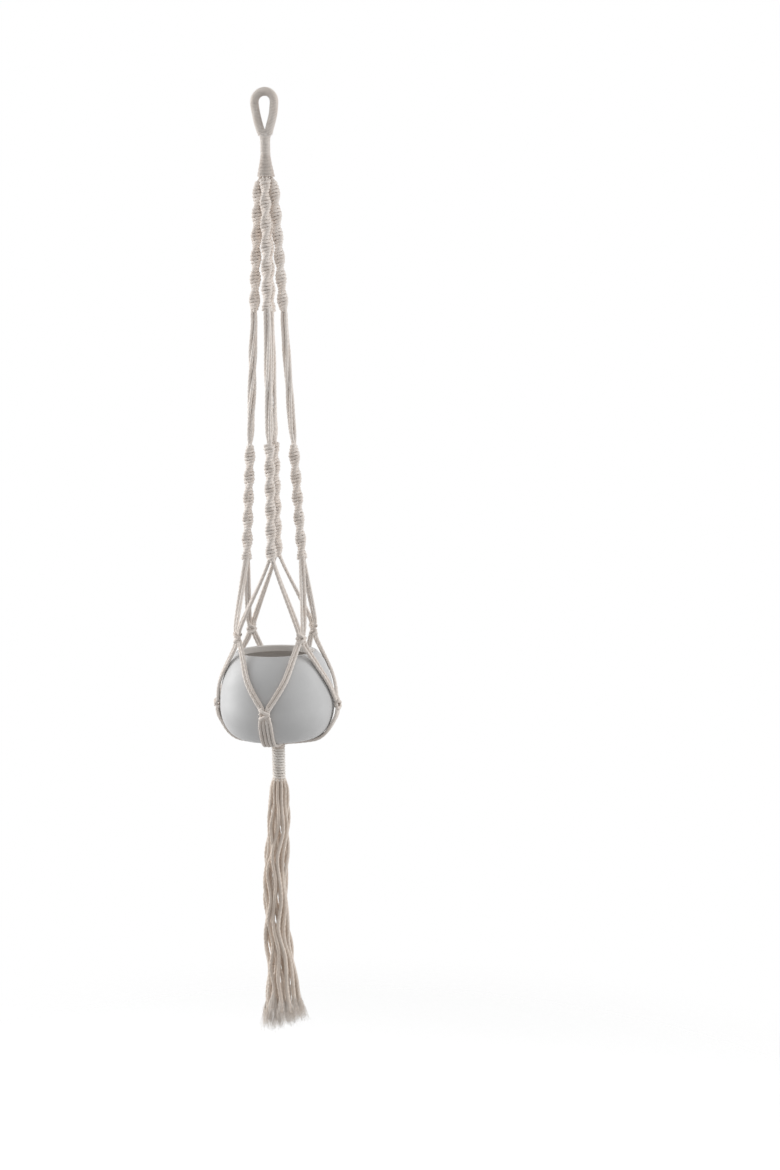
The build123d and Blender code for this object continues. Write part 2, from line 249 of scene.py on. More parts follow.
# A cord is a lobed tube that turns with its lay
def addTube(strands, line, radii, profile, lay, tone, step):
    marks = lengthMarks(line)
    rings = max(rope["fewestRings"], int(marks[-1] / step) + 1)
    along = np.linspace(0, marks[-1], rings)
    centre = placesAlong(line, marks, along)
    heading = np.gradient(centre, axis=0)
    heading /= np.linalg.norm(heading, axis=1)[:, None]
    across = np.empty_like(centre)
    slantedAxis = (0.31, 0.52, 0.79)
    side = np.cross(heading[0], slantedAxis)
    for ring in range(rings):
        side = side - heading[ring] * side.dot(heading[ring])
        side /= np.linalg.norm(side)
        across[ring] = side
    upward = np.cross(heading, across)
    sides = len(profile)
    angles = np.arange(sides) * 2 * math.pi / sides
    turned = angles[None, :] + 2 * math.pi * along[:, None] / lay + chance.uniform(0, 2 * math.pi)
    girth = np.interp(along, marks[-1] * np.linspace(0, 1, len(radii)), radii)
    radius = girth[:, None] * profile[None, :]
    places = centre[:, None, :] + radius[..., None] * (
        np.cos(turned)[..., None] * across[:, None, :] + np.sin(turned)[..., None] * upward[:, None, :]
    )
    first = strands["count"]
    ring, side = np.meshgrid(np.arange(rings - 1), np.arange(sides), indexing="ij")
    after = (side + 1) % sides
    here = first + ring * sides
    beyond = here + sides
    quads = np.stack((here + side, here + after, beyond + after, beyond + side), axis=-1)
    left = side / sides
    right = left + 1 / sides
    low = along[ring]
    high = along[ring + 1]
    faceMap = np.stack((left, low, right, low, right, high, left, high), axis=-1)
    strands["faces"].extend(quads.reshape(-1, 4).tolist())
    strands["map"].append(faceMap.reshape(-1))

    # Both ends are closed
    strands["faces"].append([first + index for index in reversed(range(sides))])
    strands["faces"].append([first + (rings - 1) * sides + index for index in range(sides)])
    strands["map"].append(np.tile((0.5, 0.0), 2 * sides))
    strands["places"].append(places.reshape(-1, 3))
    strands["tones"].append(np.full(rings * sides, tone))
    strands["count"] += rings * sides


def addRope(
    strands, line, diameter=rope["diameter"], taper=(1.0,), lay=rope["layLength"], step=rope["step"]
):
    sides = rope["plies"] * rope["sidesPerPly"]
    angles = np.arange(sides) * 2 * math.pi / sides
    lobes = np.abs(np.cos(rope["plies"] * angles / 2)) ** rope["grooveSharpness"]
    profile = 1 - rope["grooveDepth"] + rope["grooveDepth"] * lobes
    tone = chance.uniform(-rope["toneSpread"], rope["toneSpread"])
    addTube(strands, np.asarray(line), np.array(taper) * diameter / 2, profile, lay, tone, step)


def finishStrands(strands, name, material):
    mesh = bpy.data.meshes.new(name)
    mesh.from_pydata(np.concatenate(strands["places"]).tolist(), [], strands["faces"])
    layer = mesh.uv_layers.new(name="cordMap")
    layer.data.foreach_set("uv", np.concatenate(strands["map"]).astype(np.float32))
    tones = mesh.attributes.new("tone", "FLOAT", "POINT")
    tones.data.foreach_set("value", np.concatenate(strands["tones"]).astype(np.float32))
    mesh.polygons.foreach_set("use_smooth", np.ones(len(mesh.polygons), bool))
    mesh.materials.append(material)
    piece = bpy.data.objects.new(name, mesh)
    bpy.context.scene.collection.objects.link(piece)
    return piece


def finishCords(strands, name):
    return finishStrands(strands, name, cordMaterial)


pot = {
    "rimDepth": 0.621,
    "rimRadius": 0.046,
    "shoulderRadius": 0.036,
    "bellyRadius": 0.0655,
    "bellyDrop": 0.062,
    "baseRadius": 0.0385,
    "height": 0.100,
    "paleColour": (0.60, 0.60, 0.60),
    "shadeColour": (0.55, 0.55, 0.55),
    # Painted light: the paler inside stands in for light that bounces into the pot
    "insideLightColour": (0.78, 0.75, 0.72),
    "shine": 0.35,
    "roughness": (0.40, 0.52),
}


def potRadius(depth):
    below = depth - pot["rimDepth"] - pot["bellyDrop"]
    if below < 0:
        centre = pot["shoulderRadius"]
        edge = (pot["rimRadius"] - centre) / (pot["bellyRadius"] - centre)
        height = pot["bellyDrop"] / math.sqrt(1 - edge**2)
    else:
        centre = pot["baseRadius"]
        height = pot["height"] - pot["bellyDrop"]
    share = min(1.0, below / height)
    return centre + (pot["bellyRadius"] - centre) * math.sqrt(1 - share**2)


def makeGlazeGroup():
    results = {"Colour": "NodeSocketColor", "Roughness": "NodeSocketFloat", "Normal": "NodeSocketVector"}
    group = newGroup("mattGlaze", ("Pale", "Shade", "Inside"), results)
    nodes, link = group.nodes, group.links.new
    start = nodes.new("NodeGroupInput")
    end = nodes.new("NodeGroupOutput")
    place = nodes.new("ShaderNodeTexCoord")

    # Glaze pools a little, in faint bands round the pot
    flatten = nodes.new("ShaderNodeMapping")
    flatten.inputs["Scale"].default_value = (1, 1, 1.6)
    pools = nodes.new("ShaderNodeTexNoise")
    pools.inputs["Scale"].default_value = 22
    pools.inputs["Detail"].default_value = 4
    link(place.outputs["Object"], flatten.inputs["Vector"])
    link(flatten.outputs["Vector"], pools.inputs["Vector"])
    poolRange = mapRange(nodes, 0.35, 0.70)
    link(pools.outputs["Fac"], poolRange.inputs["Value"])
    glaze = mixColours(nodes)
    link(poolRange.outputs["Result"], glaze.inputs["Factor"])
    link(start.outputs["Pale"], glaze.inputs["A"])
    link(start.outputs["Shade"], glaze.inputs["B"])

    # The inside is paler, painted light for the light that bounces into the pot: it is where the surface
    # faces the pot's axis
    outwards = nodes.new("ShaderNodeVectorMath")
    outwards.operation = "MULTIPLY"
    outwards.inputs[1].default_value = (1, 1, 0)
    link(place.outputs["Object"], outwards.inputs[0])
    facing = nodes.new("ShaderNodeVectorMath")
    facing.operation = "DOT_PRODUCT"
    link(outwards.outputs["Vector"], facing.inputs[0])
    link(place.outputs["Normal"], facing.inputs[1])
    insideRange = mapRange(nodes, 0.0, -0.004)
    link(facing.outputs["Value"], insideRange.inputs["Value"])
    insideLit = mixColours(nodes)
    link(insideRange.outputs["Result"], insideLit.inputs["Factor"])
    link(glaze.outputs["Result"], insideLit.inputs["A"])
    link(start.outputs["Inside"], insideLit.inputs["B"])

    # Pinholes and a fine orange peel
    pinholes = nodes.new("ShaderNodeTexVoronoi")
    pinholes.inputs["Scale"].default_value = 260
    pinholeRange = mapRange(nodes, 0.02, 0.10)
    link(place.outputs["Object"], pinholes.inputs["Vector"])
    link(pinholes.outputs["Distance"], pinholeRange.inputs["Value"])
    speckle = mixColours(nodes, "MULTIPLY")
    speckle.inputs["Factor"].default_value = 0.10
    link(insideLit.outputs["Result"], speckle.inputs["A"])
    link(pinholeRange.outputs["Result"], speckle.inputs["B"])
    link(speckle.outputs["Result"], end.inputs["Colour"])
    peel = nodes.new("ShaderNodeTexNoise")
    peel.inputs["Scale"].default_value = 420
    peel.inputs["Detail"].default_value = 3
    link(place.outputs["Object"], peel.inputs["Vector"])
    roughRange = mapRange(nodes, 0.25, 0.75)
    smoothest, roughest = pot["roughness"]
    roughRange.inputs["To Min"].default_value = smoothest
    roughRange.inputs["To Max"].default_value = roughest
    link(pools.outputs["Fac"], roughRange.inputs["Value"])
    link(roughRange.outputs["Result"], end.inputs["Roughness"])
    bump = nodes.new("ShaderNodeBump")
    bump.inputs["Strength"].default_value = 0.12
    bump.inputs["Distance"].default_value = 0.0004
    link(peel.outputs["Fac"], bump.inputs["Height"])
    link(bump.outputs["Normal"], end.inputs["Normal"])
    return group


potColours = {"Pale": pot["paleColour"], "Shade": pot["shadeColour"], "Inside": pot["insideLightColour"]}
potMaterial, potSurface = makeMaterial("potGlaze", makeGlazeGroup(), potColours)
potSurface.inputs["Specular IOR Level"].default_value = pot["shine"]
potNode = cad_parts["pot"]
potNode.data.materials.clear()
potNode.data.materials.append(potMaterial)
print("stage: pot glazed")

# Whipping cord, and the cords that lie bound under it
whipping = {
    "diameter": 0.0016,
    "layLength": 0.006,
    "step": 0.0011,
    "stepsPerTurn": 18,
}
boundCords = {
    "sides": 12,
    "layLength": 0.03,
    "tone": 0.1,
    "step": 0.002,
}


def finishWhipping(wound, name):
    strands = newStrands()
    addRope(
        strands, wound, diameter=whipping["diameter"], lay=whipping["layLength"], step=whipping["step"]
    )
    return finishStrands(strands, name, whippingMaterial)


def finishBoundCords(line, radii, name):
    strands = newStrands()
    profile = np.ones(boundCords["sides"])
    addTube(
        strands, line, radii, profile, boundCords["layLength"], boundCords["tone"], boundCords["step"]
    )
    return finishCords(strands, name)


# Hanging eye: thin cord wound side by side round the folded cords
eye = {
    "crownRadius": 0.01125,
    "crownDepth": 0.00625,
    "crownSteps": 40,
    "limbSlant": 7.0,
    "bendDepth": 0.025,
    "endDepth": 0.041,
    "endSpacing": 0.0072,
    "windingRadius": 0.0042,
    "turns": 68,
    "unevenness": 0.03,
    "unevenPace": 0.37,
}


def eyeFold():
    slant = math.radians(eye["limbSlant"])
    crown = eye["crownRadius"]
    half = []
    for share in np.linspace(0, 1, eye["crownSteps"]):
        angle = math.pi / 2 - share * (math.pi / 2 + slant)
        half.append((crown * math.cos(angle), crown * math.sin(angle) - eye["crownDepth"]))
    limbAcross, limbUp = half[-1]
    bendAcross = limbAcross - (eye["bendDepth"] + limbUp) * math.tan(slant)
    half.extend(((bendAcross, -eye["bendDepth"]), (eye["endSpacing"] / 2, -eye["endDepth"])))
    left = [(-across, 0, up) for across, up in reversed(half)]
    return smoothLine([*left, *((across, 0, up) for across, up in half[1:])])


eyeLine = eyeFold()
marks = lengthMarks(eyeLine)
steps = eye["turns"] * whipping["stepsPerTurn"]
backward = np.array((0, 1, 0))
nearby = 0.0005
wound = []
for index in range(steps + 1):
    along = marks[-1] * index / steps
    heading = placesAlong(eyeLine, marks, along + nearby) - placesAlong(eyeLine, marks, along - nearby)
    inPlane = np.cross(heading / np.linalg.norm(heading), backward)
    angle = 2 * math.pi * index / whipping["stepsPerTurn"]
    radius = eye["windingRadius"] * uneven(index, eye["unevenness"], eye["unevenPace"])
    turned = math.cos(angle) * inPlane + math.sin(angle) * backward
    wound.append(placesAlong(eyeLine, marks, along) + radius * turned)
eyeWinding = finishWhipping(wound, "eyeWinding")
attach(eyeWinding, "hanging_loop")
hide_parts("eye_whipping")
eyeFolds = finishBoundCords(eyeLine, (eye["windingRadius"],), "eyeFolds")
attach(eyeFolds, "hanging_loop")
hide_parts("eye_cord_bundle")
print("stage: eye made")

# Neck: the winding goes on round the eye's limbs and down the gathered cords, and flares at its foot
neck = {
    "topDepth": 0.0355,
    "throatWidth": 0.0068,
    "throatThickness": 0.0040,
    "narrowDepth": 0.0500,
    "windingRadius": 0.0050,
    "flareDepth": 0.0640,
    "flarePower": 1.2,
    "footRadius": 0.0094,
    "bottomDepth": 0.0876,
    "turnHeight": 0.00155,
    "unevenness": 0.025,
    "unevenPace": 0.23,
    "coreTopDepth": 0.0440,
    "coreOverlap": 0.001,
    "coreInset": 0.0004,
    "coreSteps": 8,
    "throatBendTop": (0, 0, -0.037),
    "throatBendEnd": (0, 0, -0.052),
    "footBendTop": (0, 0, -0.072),
    "footBendEnd": (0, 0, -0.088),
}


def neckGirth(depth):
    narrowing = (depth - neck["topDepth"]) / (neck["narrowDepth"] - neck["topDepth"])
    narrowing = easeInOut(min(1.0, narrowing))
    flare = (depth - neck["flareDepth"]) / (neck["bottomDepth"] - neck["flareDepth"])
    flare = max(0.0, flare) ** neck["flarePower"]
    girth = neck["windingRadius"] + flare * (neck["footRadius"] - neck["windingRadius"])
    wide = neck["throatWidth"] + narrowing * (girth - neck["throatWidth"])
    thick = neck["throatThickness"] + narrowing * (girth - neck["throatThickness"])
    return wide, thick


def neckTurns(fromDepth, toDepth):
    steps = round((toDepth - fromDepth) / neck["turnHeight"]) * whipping["stepsPerTurn"]
    turns = []
    for index in range(steps + 1):
        depth = fromDepth + index / steps * (toDepth - fromDepth)
        wide, thick = neckGirth(depth)
        angle = 2 * math.pi * index / whipping["stepsPerTurn"]
        swell = uneven(index, neck["unevenness"], neck["unevenPace"])
        turns.append((swell * wide * math.cos(angle), swell * thick * math.sin(angle), -depth))
    return turns


neckWinding = finishWhipping(neckTurns(neck["topDepth"], neck["flareDepth"]), "neckWinding")
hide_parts("neck_whipping")
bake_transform(neckWinding)
neckFoot = finishWhipping(neckTurns(neck["flareDepth"], neck["bottomDepth"]), "neckFoot")
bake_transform(neckFoot)
coreLine = np.array([(0, 0, -neck["coreTopDepth"]), (0, 0, -neck["flareDepth"] - neck["coreOverlap"])])
neckCore = finishBoundCords(coreLine, (neck["windingRadius"],), "neckCore")
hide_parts("neck_cord_bundle")
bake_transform(neckCore)
depths = np.linspace(neck["flareDepth"], neck["bottomDepth"], neck["coreSteps"])
coreLine = np.array([(0, 0, -depth) for depth in depths])
radii = [neckGirth(depth)[0] - neck["coreInset"] for depth in depths]
footCore = finishBoundCords(coreLine, radii, "footCore")
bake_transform(footCore)
print("stage: neck made")

# Legs: two sinnets on core cords, with a plain stretch between them
leg = {
    "topDepth": 0.093,
    "topRadius": 0.0086,
    "spread": 0.0547,
    "twist": 5.5,
    "upperKnots": 33,
    "plainStretch": 0.151,
    "lowerKnots": 30,
    "lane": 0.0021,
    "settling": 0.010,
    "plainSteps": 7,
    "plainTwist": (150, 110, 190, 130),
    "unevenness": 0.0003,
}
sinnet = {
    "knotPitch": 0.0043,
    "halfTurnLength": 0.0235,
    "width": 0.0135,
    "thickness": 0.0090,
    "cordDiameter": 0.0042,
    "edgeDrop": 0.30,
    "squareness": 0.85,
    "stepsPerKnot": 12,
    "unevenness": 0.00018,
    "foldRise": 0.0022,
    "foldSideways": 0.0030,
    "foldInwards": 0.0034,
    "tuckGap": 0.001,
    "tuckLength": 0.003,
    "tuckNarrowing": 0.55,
}
coreCord = {
    "neckRadius": 0.0024,
    "neckRise": 0.012,
    "neckLane": 0.0010,
    "footRadius": 0.0048,
    "footRise": 0.001,
    "footLane": 0.0014,
    "entryRise": 0.001,
    "entryLane": 0.0017,
    "settling": 0.010,
    "lane": 0.0016,
    "tuck": 0.006,
    "endGap": 0.002,
    "taper": (0.75, 0.9, 1.0, 1.0, 1.0),
}
knottingCord = {
    "tuck": 0.005,
    "tuckLane": 0.0012,
    "leaving": 0.003,
    "leavingOutwards": 0.0026,
}
lane = leg["lane"]
upperLength = leg["upperKnots"] * sinnet["knotPitch"]
lowerStart = upperLength + leg["plainStretch"]
legLength = lowerStart + leg["lowerKnots"] * sinnet["knotPitch"]


def legPoint(azimuth, along, sideways=0.0, outwards=0.0):
    slant = math.atan(leg["spread"])
    radius = leg["topRadius"] + along * math.sin(slant) + outwards * math.cos(slant)
    depth = leg["topDepth"] + along * math.cos(slant) - outwards * math.sin(slant)
    return polar(radius, azimuth + leg["twist"], depth, sideways)


# A turn of a half knot is boxier than a round one
def boxy(value):
    return math.copysign(abs(value) ** sinnet["squareness"], value)


# One working cord of a sinnet: it crosses in front, turns down at the edge and comes back behind
def halfKnots(azimuth, start, knots, phase):
    wide = (sinnet["width"] - sinnet["cordDiameter"]) / 2
    thick = (sinnet["thickness"] - sinnet["cordDiameter"]) / 2
    points = []
    for index in range(knots * sinnet["stepsPerKnot"] + 1):
        turns = math.pi * index / sinnet["stepsPerKnot"]
        angle = turns + phase
        across = boxy(math.cos(angle)) * wide
        over = boxy(math.sin(angle)) * thick
        depth = sinnet["knotPitch"] / math.pi * (turns + sinnet["edgeDrop"] * math.sin(2 * angle))
        twist = (turns - math.pi / 2) * sinnet["knotPitch"] / sinnet["halfTurnLength"]
        sideways = across * math.cos(twist) - over * math.sin(twist)
        outwards = across * math.sin(twist) + over * math.cos(twist)
        wobble = chance.normal(0, sinnet["unevenness"], 2)
        points.append(legPoint(azimuth, start + depth, sideways + wobble[0], outwards + wobble[1]))
    return points


# The end of a working cord goes back into its sinnet: way is 1 at the lower end and -1 at the upper one
def tuckedEnd(azimuth, last, end, way):
    along = end + way * sinnet["tuckGap"]
    centre = legPoint(azimuth, along)
    narrowed = centre + (last - centre) * sinnet["tuckNarrowing"]
    return [narrowed, legPoint(azimuth, along - way * sinnet["tuckLength"])]


# A cord of the plain stretch: the four cords turn slowly round each other
def plainRun(azimuth, sideways, outwards, twist):
    points = []
    for index in range(leg["plainSteps"] + 1):
        share = index / leg["plainSteps"]
        turned = math.radians(twist) * easeInOut(share)
        across = sideways * math.cos(turned) - outwards * math.sin(turned)
        over = sideways * math.sin(turned) + outwards * math.cos(turned)
        along = upperLength + leg["settling"] + share * (leg["plainStretch"] - 2 * leg["settling"])
        wobble = chance.normal(0, leg["unevenness"], 2)
        points.append(legPoint(azimuth, along, across + wobble[0], over + wobble[1]))
    return points


for (name, azimuth), plainTwist in zip(legs.items(), leg["plainTwist"]):
    # Upper sinnet: one cord folded behind the core cords, both halves knotted down
    strands = newStrands()
    first = halfKnots(azimuth, 0, leg["upperKnots"], 0)
    second = halfKnots(azimuth, 0, leg["upperKnots"], math.pi)
    fold = [
        legPoint(azimuth, -sinnet["foldRise"], side * sinnet["foldSideways"], -sinnet["foldInwards"])
        for side in (1, -1)
    ]
    folded = [
        *reversed(tuckedEnd(azimuth, first[-1], upperLength, 1)),
        *reversed(first),
        *fold,
        *second,
        *tuckedEnd(azimuth, second[-1], upperLength, 1),
    ]
    addRope(strands, smoothLine(folded), diameter=sinnet["cordDiameter"])
    upperSinnet = finishCords(strands, f"{name}UpperSinnet")
    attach(upperSinnet, "cradle")
    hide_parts(f"{name}_upper_sinnet")

    # Lower sinnet: the two knotting cords come out between the core cords
    strands = newStrands()
    for phase in (0, math.pi):
        knotted = halfKnots(azimuth, lowerStart, leg["lowerKnots"], phase)
        knotted = [
            *reversed(tuckedEnd(azimuth, knotted[0], lowerStart, -1)),
            *knotted,
            *tuckedEnd(azimuth, knotted[-1], legLength, 1),
        ]
        addRope(strands, smoothLine(knotted), diameter=sinnet["cordDiameter"])
    lowerSinnet = finishCords(strands, f"{name}LowerSinnet")
    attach(lowerSinnet, "cradle")
    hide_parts(f"{name}_lower_sinnet")

    # Core cords from the neck, and knotting cords beside them where they hang plain
    strands = newStrands()
    for side in (-1, 1):
        neckPlace = neck["bottomDepth"] - coreCord["neckRise"]
        footPlace = neck["bottomDepth"] - coreCord["footRise"]
        inner = side * coreCord["lane"]
        route = [
            polar(coreCord["neckRadius"], azimuth, neckPlace, side * coreCord["neckLane"]),
            polar(coreCord["footRadius"], azimuth, footPlace, side * coreCord["footLane"]),
            legPoint(azimuth, -coreCord["entryRise"], side * coreCord["entryLane"]),
            legPoint(azimuth, coreCord["settling"], inner),
            legPoint(azimuth, upperLength - coreCord["tuck"], inner),
            *plainRun(azimuth, side * lane, -lane, plainTwist),
            legPoint(azimuth, lowerStart + coreCord["tuck"], inner),
            legPoint(azimuth, legLength - coreCord["endGap"], inner),
        ]
        addRope(strands, smoothLine(route), taper=coreCord["taper"])
    coreCords = finishCords(strands, f"{name}CoreCords")
    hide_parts(f"{name}_core_cords")
    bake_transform(coreCords)

    strands = newStrands()
    for side in (-1, 1):
        inner = side * knottingCord["tuckLane"]
        over = knottingCord["tuckLane"]
        leaving = upperLength + knottingCord["leaving"]
        route = [
            legPoint(azimuth, upperLength - knottingCord["tuck"], inner, over),
            legPoint(azimuth, leaving, side * lane, knottingCord["leavingOutwards"]),
            *plainRun(azimuth, side * lane, lane, plainTwist),
            legPoint(azimuth, lowerStart + knottingCord["tuck"], inner, over),
        ]
        addRope(strands, smoothLine(route))
    knottingCords = finishCords(strands, f"{name}KnottingCords")
    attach(knottingCords, "cradle")
    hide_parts(f"{name}_knotting_cords")
print("stage: legs made")

# Net: cords from the legs to the upper knots, and over the pot's shoulder to the lower ones
net = {
    "upperRadius": 0.0515,
    "upperDepth": 0.601,
    "lowerRadius": 0.0703,
    "lowerDepth": 0.682,
    "toCorner": 45,
    "legTuck": 0.006,
    "legTuckSideways": 0.0012,
    "legTuckOutwards": 0.0010,
    "legLeaving": 0.003,
    "arrivals": ((-0.013, 1.0), (-0.004, 0.5), (0.005, 0.4)),
    "shoulderShares": (0.0, 0.06, 0.52, 0.64, 0.76, 0.88, 1.0),
    "standoff": 0.0031,
    "tuck": 0.002,
    "tuckLane": 0.002,
    "tuckNarrowing": 0.6,
}
knot = {
    "width": 0.0155,
    "height": 0.0140,
    "front": 0.0028,
    "back": 0.0024,
    "edgeDrop": 0.45,
    "steps": 24,
    "endReach": 0.001,
    "endOver": 0.1,
    "endAcross": 0.35,
}


# A square knot: one cord crosses twice in front and loops at the far side, the other does so behind
def squareKnot(radius, azimuth, depth):
    wide = (knot["width"] - rope["diameter"]) / 2
    high = (knot["height"] - rope["diameter"]) / 2
    strands = newStrands()
    for hand, thick in ((-1, knot["front"]), (1, -knot["back"])):
        endRadius = radius + thick * knot["endOver"]
        endAcross = hand * wide * knot["endAcross"]
        points = [polar(endRadius, azimuth, depth - high - knot["endReach"], endAcross)]
        for index in range(knot["steps"] + 1):
            angle = 2 * math.pi * index / knot["steps"]
            across = hand * wide * math.cos(angle)
            over = thick * math.sin(angle) ** 2
            drop = -high + 2 * high * (angle - knot["edgeDrop"] * math.sin(2 * angle)) / (2 * math.pi)
            points.append(polar(radius + over, azimuth, depth + drop, across))
        points.append(polar(endRadius, azimuth, depth + high + knot["endReach"], endAcross))
        addRope(strands, smoothLine(points))
    return strands


for name, azimuth in legs.items():
    # Net cords from a leg to the knots on both sides
    strands = newStrands()
    for way in (-1, 1):
        for inwards, arrival in ((-1, lane), (1, 3 * lane)):
            corner = azimuth + way * net["toCorner"]
            tuckAcross = way * net["legTuckSideways"]
            tuckOver = inwards * net["legTuckOutwards"]
            route = [
                legPoint(azimuth, legLength - net["legTuck"], tuckAcross, tuckOver),
                legPoint(azimuth, legLength + net["legLeaving"], way * lane, inwards * lane),
            ]
            for drop, share in net["arrivals"]:
                depth = net["upperDepth"] + drop
                route.append(polar(net["upperRadius"], corner, depth, -way * share * arrival))
            addRope(strands, smoothLine(route))
    upperNet = finishCords(strands, f"{name}UpperNetCords")
    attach(upperNet, "cradle")
    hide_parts(f"{name}_upper_net_cords")

startDepth = net["upperDepth"] + knot["height"] / 2
endDepth = net["lowerDepth"] - knot["height"] / 2
for name, azimuth in corners.items():
    strands = squareKnot(net["upperRadius"], azimuth, net["upperDepth"])
    upperKnot = finishCords(strands, f"{name}UpperKnot")
    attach(upperKnot, "cradle")
    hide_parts(f"{cadCorners[name]}_upper_knot")

    # Net cords over the pot's shoulder
    strands = newStrands()
    for way in (-1, 1):
        for side in (-1, 1):
            sideways = way * (2 * lane + side * net["tuckLane"]) * net["tuckNarrowing"]
            route = [polar(net["upperRadius"], azimuth, net["upperDepth"] + net["tuck"], sideways)]
            for share in net["shoulderShares"]:
                depth = startDepth + share * (endDepth - startDepth)
                radius = potRadius(max(depth, pot["rimDepth"])) + net["standoff"]
                radius = max(net["upperRadius"], radius)
                sideways = way * lane * (2 - 4 * share + side)
                route.append(polar(radius, azimuth + way * net["toCorner"] * share, depth, sideways))
            sideways = -way * (2 * lane - side * net["tuckLane"]) * net["tuckNarrowing"]
            corner = azimuth + way * net["toCorner"]
            route.append(polar(net["lowerRadius"], corner, net["lowerDepth"] - net["tuck"], sideways))
            addRope(strands, smoothLine(route))
    lowerNet = finishCords(strands, f"{name}LowerNetCords")
    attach(lowerNet, "cradle")
    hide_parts(f"{cadCorners[name]}_lower_net_cords")

for name, azimuth in legs.items():
    strands = squareKnot(net["lowerRadius"], azimuth, net["lowerDepth"])
    lowerKnot = finishCords(strands, f"{name}LowerKnot")
    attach(lowerKnot, "cradle")
    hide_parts(f"{name}_lower_knot")
print("stage: net made")

# Gathering: a thinner cord wound round all the cords under the pot
gathering = {
    "depth": 0.7325,
    "length": 0.0395,
    "coreRadius": 0.0046,
    "cordDiameter": 0.0033,
    "layLength": 0.014,
    "turns": 12,
    "stepsPerTurn": 24,
    "unevenness": 0.04,
    "unevenPace": 0.19,
    # Painted light: the wrap's cord is paler than the other cords, for the light that bounces up onto it
    # under the pot
    "paleColour": (0.98, 0.94, 0.89),
    "shadeColour": (0.90, 0.84, 0.78),
}

# Cords under the pot, drawn together into the gathering
base = {
    "standoff": 0.0027,
    "leaving": 0.010,
    "bowlAngles": (32, 52, 70, 88),
    "fanAngles": (-33.75, -11.25, 11.25, 33.75),
    "funnel": ((0.0125, -0.0060), (0.0060, -0.0030), (0.0030, 0.0060), (0.0026, 0.0140)),
    "taper": (1.0, 1.0, 1.0, 1.0, 1.0, 1.0, 1.0, 0.75, 0.6, 0.6),
    "bendTop": (0, 0, -0.7285),
    "bendEnd": (0, 0, -0.7410),
}
bellyDepth = pot["rimDepth"] + pot["bellyDrop"]
bowlWidth = pot["bellyRadius"] - pot["baseRadius"]
bowlHeight = pot["height"] - pot["bellyDrop"]
for name, azimuth in legs.items():
    strands = newStrands()
    for offset, fanAngle in zip((-3 * lane, -lane, lane, 3 * lane), base["fanAngles"]):
        tucked = offset * net["tuckNarrowing"]
        route = [
            polar(net["lowerRadius"], azimuth, net["lowerDepth"] + net["tuck"], tucked),
            polar(net["lowerRadius"], azimuth, net["lowerDepth"] + base["leaving"], offset),
        ]
        for angle in base["bowlAngles"]:
            across = math.cos(math.radians(angle))
            down = math.sin(math.radians(angle))
            clearance = base["standoff"] / math.hypot(across / bowlWidth, down / bowlHeight)
            radius = pot["baseRadius"] + bowlWidth * across + clearance * across / bowlWidth
            depth = bellyDepth + bowlHeight * down + clearance * down / bowlHeight
            route.append(polar(radius, azimuth, depth, offset))
        for radius, drop in base["funnel"]:
            route.append(polar(radius, azimuth + fanAngle, gathering["depth"] + drop))
        addRope(strands, smoothLine(route), taper=base["taper"])
    baseCords = finishCords(strands, f"{name}BaseCords")
    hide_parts(f"{name}_base_cords")
    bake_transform(baseCords)

strands = newStrands()
wound = []
pitch = gathering["length"] / gathering["turns"]
for index in range(gathering["turns"] * gathering["stepsPerTurn"] + 1):
    turns = index / gathering["stepsPerTurn"]
    angle = 2 * math.pi * turns
    swell = uneven(index, gathering["unevenness"], gathering["unevenPace"])
    radius = gathering["coreRadius"] + gathering["cordDiameter"] / 2 * swell
    depth = gathering["depth"] + pitch * turns
    wound.append((radius * math.cos(angle), radius * math.sin(angle), -depth))
addRope(strands, wound, diameter=gathering["cordDiameter"], lay=gathering["layLength"])
# The wrap's paler colours are painted light, for bounce light under the pot
litWrapMaterial = makeCordMaterial("wrapCordPaintedLight", gathering["paleColour"], gathering["shadeColour"])
wrap = finishStrands(strands, "gatheringWrap", litWrapMaterial)
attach(wrap, "gathering")
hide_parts("gathering_wrap", "gathering_bundle")
print("stage: gathering made")

# Tassel: sixteen free ends, each with a frayed tip
tassel = {
    "lengths": (0.285, 0.287, 0.281, 0.290),
    "stretch": (1.0, 0.96, 1.02, 0.985),
    "taper": (0.8, 1.0, 1.05, 1.1, 1.15, 1.2, 1.25, 1.35),
    "waveLength": (0.045, 0.085),
    "waveHeight": 0.0024,
    "waveOutwards": 0.8,
    "waveStart": 0.040,
    "waveSteps": 24,
    "bow": 0.0070,
    "bowAzimuth": 192,
    "bendRise": 0.004,
    "bendDrop": 0.008,
    # Painted shade: the tassel's cords are darker and warmer than the other cords, for the shade between
    # the bunched cords
    "paleColour": (0.93, 0.838, 0.752),
    "shadeColour": (0.70, 0.577, 0.475),
}
fray = {
    "length": 0.022,
    "fibres": 170,
    "fibreDiameter": 0.00026,
    "fibreTaper": (1.0, 1.0, 0.5),
    "fibreSides": 4,
    "fibreLay": 1.0,
    "fibreStep": 0.003,
    "fibreThinning": 3,
    "fibreLength": 0.040,
    "lengthShares": (0.55, 1.0),
    "rootSpread": 0.45,
    "spread": 0.26,
    "spreadShares": (0.4, 1.0),
    "straightShare": 0.25,
    "bendShare": 0.55,
    "bend": 0.0012,
    # Painted light: the fibres' paler tones and colours offset the shade the fibres cast on each other
    "tones": (-0.5, 0.0),
    "paleColour": (0.99, 0.93, 0.87),
    "shadeColour": (0.90, 0.81, 0.73),
}

